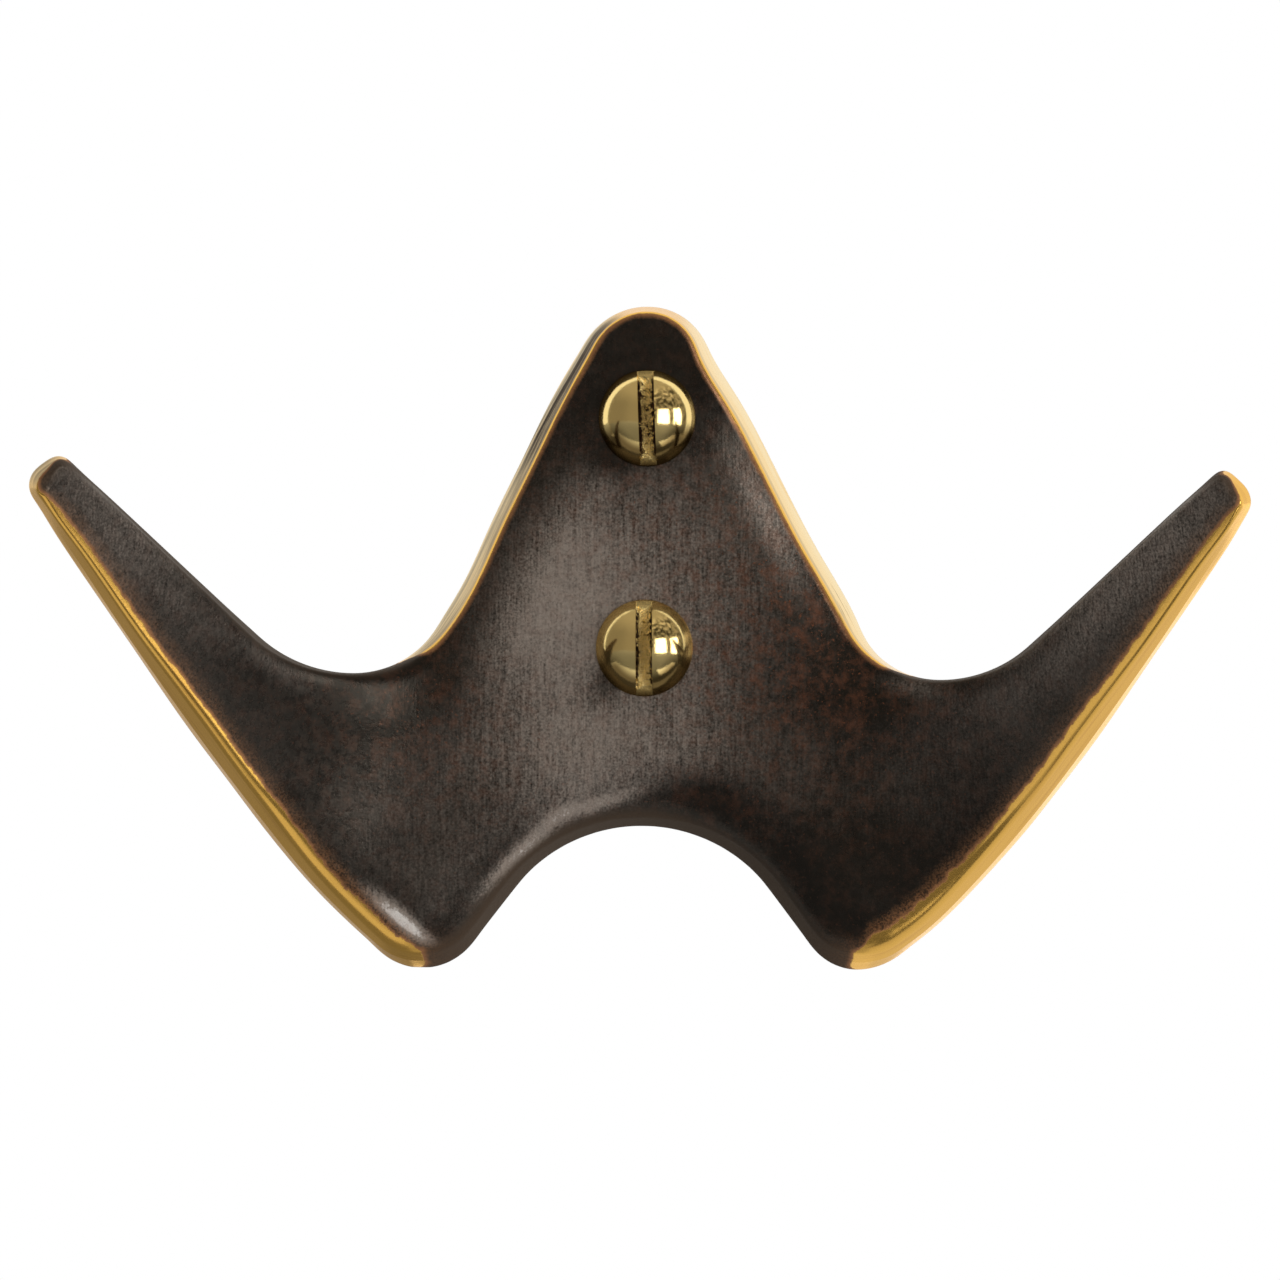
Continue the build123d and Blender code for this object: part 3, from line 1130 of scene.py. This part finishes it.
    def cap(self, loop: Array, pitch: float) -> tuple[Array, Faces]:
        """Fills a loop with triangles, leaving the screw holes open.

        Args:
            loop: The loop, seen from the front.
            pitch: Distance between the added places.

        Returns:
            Places added inside it, first those around the holes, and triangles over the loop and them.
        """
        turns = np.linspace(0, 2 * math.pi, self.hole_sides, endpoint=False)
        circle = np.column_stack([np.cos(turns), np.sin(turns)])
        centres = [np.array([0, side * self.hole_spacing / 2]) for side in (1, -1)]
        holes = [centre + circle * self.hole_radius for centre in centres]
        low, high = loop.min(axis=0), loop.max(axis=0)
        grid = []
        for number, row in enumerate(np.arange(low[1], high[1], pitch * math.sqrt(0.75))):
            columns = np.arange(low[0] + number % 2 * pitch / 2, high[0], pitch)
            grid.append(np.column_stack([columns, np.full(len(columns), row)]))
        inner = np.vstack(grid)
        inner = inner[inside_loop(inner, loop)]
        gap = np.linalg.norm(inner - nearest_on_loop(inner, loop)[0], axis=1)
        inner = inner[gap > pitch * self.grid_gap]
        for centre in centres:
            inner = inner[np.linalg.norm(inner - centre, axis=1) > self.hole_radius + pitch / 2]
        places = np.vstack([loop, *holes, inner])
        edges = []
        start = 0
        for ring in (loop, *holes):
            edges += [(start + i, start + (i + 1) % len(ring)) for i in range(len(ring))]
            start += len(ring)
        made = delaunay_2d_cdt([Vector(place) for place in places], edges, [], 1, 1e-6)
        origin = [sources[0] for sources in made[3]]
        triangles = []
        for triangle in made[2]:
            corners = tuple(origin[corner] for corner in triangle)
            middle = places[list(corners)].mean(axis=0)
            if all(np.linalg.norm(middle - centre) > self.hole_radius for centre in centres):
                triangles.append(corners)
        return places[len(loop):], triangles

    def join(self, loops: int, front: Faces, back: Faces, added: int) -> Faces:
        """Joins the loops across the edge, the caps and the walls of the holes.

        Args:
            loops: How many loops run across the edge.
            front: Triangles of the front cap.
            back: Triangles of the back cap.
            added: How many places the front cap added.

        Returns:
            Vertex numbers of all faces.
        """
        count = self.samples
        front_start = loops * count
        back_start = front_start + added
        last = front_start - count
        faces: Faces = []
        for low in range(0, last, count):
            for i in range(count):
                j = (i + 1) % count
                faces.append((low + i, low + count + i, low + count + j, low + j))
        for corners in front:
            faces.append(tuple(c if c < count else c - count + front_start for c in corners))
        for corners in back:
            faces.append(tuple(c + last if c < count else c - count + back_start for c in corners[::-1]))
        for hole in (0, self.hole_sides):
            for i in range(self.hole_sides):
                here, there = hole + i, hole + (i + 1) % self.hole_sides
                faces.append((front_start + here, front_start + there, back_start + there, back_start + here))
        return faces

    def tone_with_painted_light(self, place: Array, distance: Array, soft: Array) -> Array:
        """Tone of the patina: lighter where rubbed and darker where not, with painted light and shade in it.

        Args:
            place: Points seen from the front.
            distance: Their distance from the front edge.
            soft: How softly the edge nearest to each is rounded, from 0 to 1.

        Returns:
            A share for each point, 0 where the patina is dark.
        """
        tone = self.base_rub + sum(patch.share(place) for patch in self.rub_and_light_patches)
        inner = 1 - ease(*self.inner_reach, np.abs(place[:, 0]))
        # Darker towards the crisp edges.
        crisp = between(*self.crisp_dark, inner) * (1 - ease(*self.crisp_depth, distance)) * (1 - soft)
        # Painted shade along the rolled soft edges.
        rolled = self.rolled_dark * inner * (1 - ease(*self.rolled_depth, distance)) * soft
        tone = np.maximum(tone * (1 - crisp) * (1 - rolled), self.darkest)
        # The painted highlights are added last, past the darkening at the edges.
        return tone + sum(sheen.share(place) for sheen in self.painted_highlights)

    def traits(self, rim: Rim, rings: Array, points: Array, distance: Array, near: Array) -> dict[str, Array]:
        """Works out what the finish reads at each vertex.

        Args:
            rim: The edge.
            rings: Loops across the edge.
            points: All vertices: those of the rings, then the front, then the back.
            distance: How far each vertex of the front is from the edge.
            near: Number of the rim's point that is nearest to each of them.

        Returns:
            The values by name.
        """
        behind = len(points) - rings[..., 0].size - len(distance)

        def whole(edge: Array, face: Array, back: float) -> Array:
            """One row of values for the rings, the front and the back."""
            loops = np.broadcast_to(edge, rings.shape[:2]).reshape(-1)
            return np.concatenate([loops, face, np.full(behind, back)])

        steps = np.linalg.norm(np.diff(rings, axis=0), axis=2)
        path = np.concatenate([[np.zeros(self.samples)], np.cumsum(steps, axis=0)])
        from_front = path - path[self.corner_steps // 2]
        to_back = path[-1 - self.foot_steps // 2] - path
        region = (rim.gilt - self.gilt_from) * self.gilt_slope
        shares = np.stack([from_front - rim.late, to_back, np.broadcast_to(region, path.shape)])
        gilt = -np.log(np.exp(-self.gilt_corner * shares).sum(axis=0)) / self.gilt_corner
        on_face = np.minimum(-distance - rim.late[near], region[near])
        along = np.arange(self.samples) * np.linalg.norm(rim.back[1] - rim.back[0])
        near_tip = ease(*self.stops.wall_reach, np.abs(rim.front[:, 0]))
        wall = [between(plain, tip, near_tip) for plain, tip in zip(self.wall_from, self.tip_wall_from)]
        seen = points[:, SEEN]
        depth_in = whole(np.maximum(-from_front, 0), distance, self.far)
        warm = self.base_warm + sum(patch.share(seen) for patch in self.russet_patches)
        # Painted shade, stronger on the left side and higher up, carried by the tarnishing of the bare metal.
        shade = between(self.least_shade, 1.0, ease(*self.shade_z, seen[:, 1]))
        return {
            "gilt": whole(gilt, on_face, self.no_gilt),
            "rub_and_light": self.tone_with_painted_light(seen, depth_in, whole(rim.soft, rim.soft[near], 0.0)),
            "file": whole(rim.file, rim.file[near], 0.0),
            "wear": whole(rim.wear, rim.wear[near], 0.0),
            "wall": whole(ease(*wall, from_front), np.zeros(len(distance)), 1.0),
            "warm": np.clip(warm, 0, 1),
            "mark": self.scratches.share(seen),
            "along": whole(along, along[near], 0.0),
            "across": whole(from_front, -distance, self.far),
            "shade": (1 - ease(*self.shade_x, seen[:, 0])) * shade,
        }

    def build(self) -> Piece:
        """Models the casting in place of its solid.

        Returns:
            The finished piece.
        """
        rim = self.rim()
        rings = self.rings(rim)
        front_added, front_faces = self.cap(rings[0][:, SEEN], self.front_grid)
        back_added, back_faces = self.cap(rings[-1][:, SEEN], self.back_grid)
        edge, near = nearest_on_loop(front_added, rim.front)
        distance = np.linalg.norm(front_added - edge, axis=1)
        face = self.face_points(front_added, distance, rim, near)
        points = np.vstack([rings.reshape(-1, 3), face, self.back_points(back_added)])
        points = np.clip(points, np.array(CAD_BOX[0]) / MM, np.array(CAD_BOX[1]) / MM)
        faces = self.join(len(rings), front_faces, back_faces, len(front_added))
        piece = add_mesh("cast_body", points, faces)
        for name, values in self.traits(rim, rings, points, distance, near).items():
            carry(piece, name, values)
        self.dress(piece)
        return piece

    def dress(self, piece: Piece) -> None:
        """Smooths the casting, gives it its finish and puts it on the frame.

        Args:
            piece: The modelled casting.
        """
        with editing(piece):
            bpy.ops.mesh.normals_make_consistent(inside=False)
        bpy.ops.object.shade_smooth()
        piece.data.materials.append(self.finish.material())
        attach(piece, "root")
        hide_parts(self.node)


@dataclass
class WoodScrews:
    """Two slotted round-head wood screws, one above the other."""

    node: str = "wall_screws"
    finish: ScrewBrass = field(default_factory=ScrewBrass)
    names: tuple[str, str] = ("upper_screw", "lower_screw")
    spacing: float = 19.0
    seat: float = -5.0
    head_diameter: float = 8.0
    head_height: float = 2.74
    rim_height: float = 0.25
    slot_width: float = 1.36
    slot_depth: float = 2.3
    slot_edge: float = 0.12
    slot_edge_angle: float = 50.0
    saw_height: float = 4.0
    saw_length: float = 9.6
    saw_cuts: int = 9
    shank_diameter: float = 4.0
    shank_end: float = 2.0
    runout: float = 0.6
    thread_diameter: float = 3.6
    root_diameter: float = 2.5
    pitch: float = 1.6
    pitch_steps: int = 12
    ridge: float = 0.28
    point_start: float = 20.0
    point_end: float = 25.0
    point_cap: float = 0.2
    sides: int = 96
    dome_steps: int = 30
    weld: float = 0.002
    smooth_angle: float = 35.0
    turns: Range = (2.7, 0.8)
    dirt: Range = (0.2, -0.1)
    sunk_from: Range = (0.12, 0.45)
    gutter_from: Range = (0.3, 0.62)
    under_radius: Range = (1.8, 2.8)
    under_drop: Range = (0.2, 1.6)
    under_share: float = 0.9
    head_margin: float = 0.01

    def dome(self) -> tuple[float, float]:
        """Works out the round of the head.

        Returns:
            The dome's radius, and the place of its centre on the axis.
        """
        half = self.head_diameter / 2
        rise = self.head_height - self.rim_height
        radius = (half**2 + rise**2) / (2 * rise)
        return radius, self.seat - self.head_height + radius

    def blank(self) -> Piece:
        """Turns the screw without its slot, on the Y axis.

        Returns:
            A closed mesh with a helical thread and a sharp point.
        """
        radius, centre = self.dome()
        half, shank = self.head_diameter / 2, self.shank_diameter / 2
        around = np.linspace(0, 2 * math.pi, self.sides, endpoint=False)
        rings = []
        for angle in np.linspace(0, math.asin(half / radius), self.dome_steps + 1)[1:]:
            rings.append((centre - radius * math.cos(angle), np.full(self.sides, radius * math.sin(angle))))
        for place, size in ((self.seat, half), (self.seat, shank), (self.shank_end - self.runout, shank)):
            rings.append((place, np.full(self.sides, size)))
        root, crest = self.root_diameter / 2, self.thread_diameter / 2
        rise = self.pitch / self.pitch_steps
        for place in np.arange(self.shank_end, self.point_end - self.point_cap, rise):
            phase = (place / self.pitch - around / (2 * math.pi)) % 1.0
            ridge = np.clip(1 - np.abs(phase - 0.5) / self.ridge, 0, 1)
            start = np.clip((place - self.shank_end) / self.pitch, 0, 1)
            taper = np.clip((self.point_end - place) / (self.point_end - self.point_start), 0, 1)
            rings.append((place, (root + (crest - root) * ridge * start) * taper))
        points = [(0, self.seat - self.head_height, 0)]
        for place, size in rings:
            points += list(zip(size * np.cos(around), np.full(self.sides, place), size * np.sin(around)))
        points.append((0, self.point_end, 0))
        faces: Faces = []
        last = 1 + (len(rings) - 1) * self.sides
        for i in range(self.sides):
            j = (i + 1) % self.sides
            faces.append((0, 1 + i, 1 + j))
            faces.append((len(points) - 1, last + j, last + i))
            for low in range(1, last, self.sides):
                high = low + self.sides
                faces.append((low + i, high + i, high + j, low + j))
        return add_mesh("screw", np.array(points), faces)

    def cut_slot(self, screw: Piece) -> None:
        """Saws the slot across the head and rounds its edges.

        Args:
            screw: The screw on the Y axis.
        """
        middle = self.seat - self.head_height + self.slot_depth - self.saw_height / 2
        bpy.ops.object.select_all(action="DESELECT")
        bpy.ops.mesh.primitive_cube_add(size=MM, location=(0, middle * MM, 0))
        saw = bpy.context.active_object
        saw.scale = (self.slot_width, self.saw_height, self.saw_length)
        bpy.ops.object.transform_apply(location=True, rotation=True, scale=True)
        with editing(saw):
            bpy.ops.mesh.subdivide(number_cuts=self.saw_cuts)
        pick(screw)
        cut = screw.modifiers.new("slot", "BOOLEAN")
        cut.operation = "DIFFERENCE"
        cut.solver = "EXACT"
        cut.object = saw
        bpy.ops.object.modifier_apply(modifier=cut.name)
        bpy.data.objects.remove(saw)
        bevel = screw.modifiers.new("slot edges", "BEVEL")
        bevel.width = self.slot_edge * MM
        bevel.segments = 2
        bevel.limit_method = "ANGLE"
        bevel.angle_limit = math.radians(self.slot_edge_angle)
        bpy.ops.object.modifier_apply(modifier=bevel.name)

    def build(self) -> list[Piece]:
        """Models one screw and sets it twice, each with its slot at its own angle.

        Returns:
            The upper and the lower screw.
        """
        first = self.blank()
        self.cut_slot(first)
        with editing(first):
            bpy.ops.mesh.remove_doubles(threshold=self.weld * MM)
            bpy.ops.mesh.normals_make_consistent(inside=False)
        bpy.ops.object.shade_smooth_by_angle(angle=math.radians(self.smooth_angle))
        radius, centre = self.dome()
        points = np.array([vertex.co for vertex in first.data.vertices]) / MM
        sunk = radius - np.linalg.norm(points - np.array([0, centre, 0]), axis=1)
        head = points[:, 1] < self.seat + self.head_margin
        slot = ease(*self.sunk_from, sunk) * head
        # Painted shade on the lower rim of the head, away from the slot.
        under = ease(*self.under_radius, np.hypot(points[:, 0], points[:, 2]))
        under = under * ease(*self.under_drop, -points[:, 2]) * (1 - slot) * head
        carry(first, "slot", slot)
        carry(first, "under", self.under_share * under)
        first.data.materials.append(self.finish.material())
        second = first.copy()
        second.data = first.data.copy()
        bpy.context.scene.collection.objects.link(second)
        screws = [first, second]
        for screw, name, side, turn, dirt in zip(screws, self.names, (1, -1), self.turns, self.dirt):
            screw.name = name
            grimy = ease(*self.gutter_from, np.abs(points[:, 0])) + dirt
            carry(screw, "gutter", slot * grimy)
            place = Matrix.Translation((0, 0, side * self.spacing / 2 * MM))
            screw.data.transform(place @ Matrix.Rotation(math.radians(-turn), 4, "Y"))
            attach(screw, "root")
            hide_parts(self.node)
        return screws


def only_reflected(card: Piece) -> None:
    """Makes a piece of the studio show in reflections and nowhere else.

    Args:
        card: The piece.
    """
    card.visible_camera = False
    card.visible_shadow = False
    card.visible_diffuse = False


@dataclass
class Lamp:
    """Soft square light, aimed at the hook. Its places and sizes are metres."""

    name: str
    turn: float
    lift: float
    distance: float
    width: float
    height: float
    radiance: float

    def place(self) -> None:
        """Hangs the light on its side of the hook."""
        turn, lift = math.radians(self.turn), math.radians(self.lift)
        way = Vector((math.sin(turn) * math.cos(lift), -math.cos(turn) * math.cos(lift), math.sin(lift)))
        light = bpy.data.lights.new(self.name, "AREA")
        light.shape = "RECTANGLE"
        light.size = self.width
        light.size_y = self.height
        light.energy = self.radiance * math.pi * self.width * self.height
        lamp = bpy.data.objects.new(self.name, light)
        lamp.location = way * self.distance
        lamp.rotation_euler = (-way).to_track_quat("-Z", "Y").to_euler()
        bpy.context.scene.collection.objects.link(lamp)


@dataclass
class Card:
    """Grey sheet over the floor, shaded from its start, that only reflections see. Its places are metres."""

    name: str
    start: Triple
    run: float
    depth: float
    level: float
    far_level: float

    def place(self) -> None:
        """Lays the card out."""
        x, y, z = self.start
        far_x, far_y = x + self.run, y + self.depth
        corners = np.array([(x, y, z), (far_x, y, z), (far_x, far_y, z), (x, far_y, z)])
        card = add_mesh(self.name, corners / MM, [(0, 1, 2, 3)])
        carry(card, "level", np.array([self.level, self.level, self.far_level, self.far_level]))
        recipe = Recipe(bpy.data.materials.new(self.name))
        recipe.show(recipe.glow(recipe.trait("level")))
        card.data.materials.append(recipe.owner)
        only_reflected(card)


@dataclass
class DimSide:
    """Dim half of the room on the camera's side, which only reflections see. Its sizes are metres."""

    radius: float = 1.6
    segments: int = 96
    open_at: float = 0.1
    front: float = 0.28
    left: float = 0.23
    right: float = 0.14
    below: float = 0.16
    above: float = 0.38
    tint: Triple = (1.0, 0.91, 0.78)
    right_turn: Range = (8.0, 25.0)
    left_turn: Range = (-30.0, -60.0)
    below_lift: Range = (-8.0, -35.0)
    above_lift: Range = (25.0, 60.0)
    clutter: Grain = Grain(0.006, 4, 0.6)
    clutter_level: Step = Step(0.45, 0.59, 0.02, 2.8)
    clutter_turn: Sides = ((-12.0, 4.0), (95.0, 80.0))
    clutter_lift: Sides = ((-30.0, -15.0), (70.0, 45.0))

    def place(self) -> None:
        """Puts up half a sphere around the camera's side."""
        bpy.ops.object.select_all(action="DESELECT")
        bpy.ops.mesh.primitive_uv_sphere_add(
            segments=self.segments, ring_count=self.segments // 2, radius=self.radius
        )
        shell = bpy.context.active_object
        shell.name = "dim_side"
        with editing(shell):
            bpy.ops.mesh.bisect(plane_co=(0, self.open_at, 0), plane_no=(0, 1, 0), clear_outer=True)
        way = np.array([vertex.co for vertex in shell.data.vertices]) / self.radius
        turn = np.degrees(np.arctan2(way[:, 0], -way[:, 1]))
        lift = np.degrees(np.arcsin(np.clip(way[:, 2], -1, 1)))
        level = between(self.front, self.right, ease(*self.right_turn, turn))
        level = between(level, self.left, ease(*self.left_turn, turn))
        level = between(level, self.below, ease(*self.below_lift, lift))
        carry(shell, "level", between(level, self.above, ease(*self.above_lift, lift)))
        clutter = math.prod(ease(*ends, turn) for ends in self.clutter_turn)
        carry(shell, "clutter", clutter * math.prod(ease(*ends, lift) for ends in self.clutter_lift))
        recipe = Recipe(bpy.data.materials.new("dim side"))
        things = recipe.remap(recipe.noise(recipe.millimetres(), self.clutter), self.clutter_level)
        shown = recipe.mix(Mixed.NUMBER, recipe.trait("clutter"), 1.0, things)
        recipe.show(recipe.glow(recipe.times(recipe.trait("level"), shown), self.tint))
        shell.data.materials.append(recipe.owner)
        only_reflected(shell)


@dataclass
class Studio:
    """White room around the hook: floor, lamps, dark cards, world and camera. Its places are metres."""

    floor_drop: float = 0.16
    floor_radius: float = 0.38
    floor_sides: int = 96
    floor_colour: Triple = (0.8, 0.8, 0.8)
    floor_rough: float = 0.9
    floor_glow: float = 0.8
    sky: float = 0.6
    lamps: tuple[Lamp, ...] = (
        Lamp("window_near", 36, -1, 0.9, 0.40, 0.66, 3.6),
        Lamp("window_side", 69, 3, 0.9, 0.30, 0.50, 3.6),
    )
    dim_side: DimSide = field(default_factory=DimSide)
    cards: tuple[Card, ...] = (
        Card("left_sheet", (-1.2, 0.02, -0.155), 1.16, 0.4, 0.28, 0.34),
        Card("left_far_sheet", (-1.2, 0.42, -0.155), 1.16, 1.2, 0.5, 0.8),
        Card("front_sheet", (-1.2, -0.03, -0.155), 2.4, -1.17, 0.16, 0.34),
        Card("below_left_sheet", (-0.3, -0.02, -0.15), 0.3, 0.15, 0.22, 0.22),
        Card("below_right_sheet", (0.0, -0.02, -0.15), 0.3, 0.11, 0.65, 0.75),
        Card("dark_sheet", (0.0, -0.06, -0.15), 0.3, 0.04, 0.16, 0.16),
        Card("bright_sheet", (0.08, -0.11, -0.145), 0.19, 0.05, 1.5, 1.5),
        Card("amber_sheet", (-0.3, -0.12, -0.15), 0.3, 0.10, 0.7, 0.7),
        Card("middle_sheet", (-0.03, -0.05, -0.14), 0.06, 0.08, 0.45, 0.45),
        Card("right_sheet", (0.04, 0.09, -0.155), 1.16, 0.27, 0.75, 0.8),
        Card("right_far_sheet", (0.04, 0.36, -0.155), 1.16, 1.2, 1.35, 1.35),
    )
    eye_distance: float = 0.6
    eye_yaw: float = 1.231
    eye_pitch: float = 0.4
    eye_roll: float = 0.673
    aim: Triple = (-0.00037, -0.005, -0.00884)
    view_width: float = 0.10583
    sensor: float = 36.0

    def floor(self) -> None:
        """Lays the pale floor below the hook."""
        bpy.ops.object.select_all(action="DESELECT")
        bpy.ops.mesh.primitive_circle_add(
            vertices=self.floor_sides,
            radius=self.floor_radius,
            fill_type="NGON",
            location=(0, 0, -self.floor_drop),
        )
        floor = bpy.context.active_object
        floor.name = "floor"
        recipe = Recipe(bpy.data.materials.new("floor paper"))
        recipe.feed("Base Color", self.floor_colour)
        recipe.feed("Roughness", self.floor_rough)
        paper = recipe.node("ShaderNodeMixShader")
        parts = (recipe.times(recipe.seen(), self.floor_glow), recipe.shader.outputs[0], recipe.glow(1.0))
        for socket, part in zip(paper.inputs, parts):
            recipe.put(socket, part)
        recipe.show(paper.outputs[0])
        floor.data.materials.append(recipe.owner)

    def world(self) -> None:
        """Lights the room evenly and makes what lies behind the hook white."""
        world = bpy.data.worlds.new("white room")
        bpy.context.scene.world = world
        recipe = Recipe(world, "Background")
        recipe.feed("Color", (1.0, 1.0, 1.0))
        recipe.feed("Strength", recipe.remap(recipe.seen(), Step(0.0, 1.0, self.sky, 1.0)))

    def camera(self) -> None:
        """Sets up the camera where the photograph was taken from."""
        lens = bpy.data.cameras.new("camera")
        lens.sensor_width = self.sensor
        lens.lens = self.sensor * self.eye_distance / self.view_width
        turn = Matrix.Rotation(math.radians(self.eye_yaw), 4, "Z")
        turn = turn @ Matrix.Rotation(math.radians(90 - self.eye_pitch), 4, "X")
        roll = Matrix.Rotation(math.radians(self.eye_roll), 4, "Z")
        away = turn @ Vector((0, 0, self.eye_distance))
        eye = bpy.data.objects.new("camera", lens)
        eye.matrix_world = Matrix.Translation(Vector(self.aim) + away) @ turn @ roll
        bpy.context.scene.collection.objects.link(eye)
        bpy.context.scene.camera = eye

    def build(self) -> None:
        """Sets up everything around the hook."""
        bpy.context.scene.view_settings.view_transform = "Standard"
        self.world()
        self.floor()
        for thing in (*self.lamps, self.dim_side, *self.cards):
            thing.place()
        self.camera()


def main() -> None:
    """Builds the hook and its studio, and notes the size of both models."""
    logging.basicConfig(level=logging.INFO, format="%(name)s: %(message)s")
    for piece in (Casting().build(), *WoodScrews().build()):
        log.info("%s: %d faces", piece.name, len(piece.data.polygons))
    Studio().build()
    log.info("studio: floor, lamps, cards and camera")


if __name__ == "__main__":
    main()
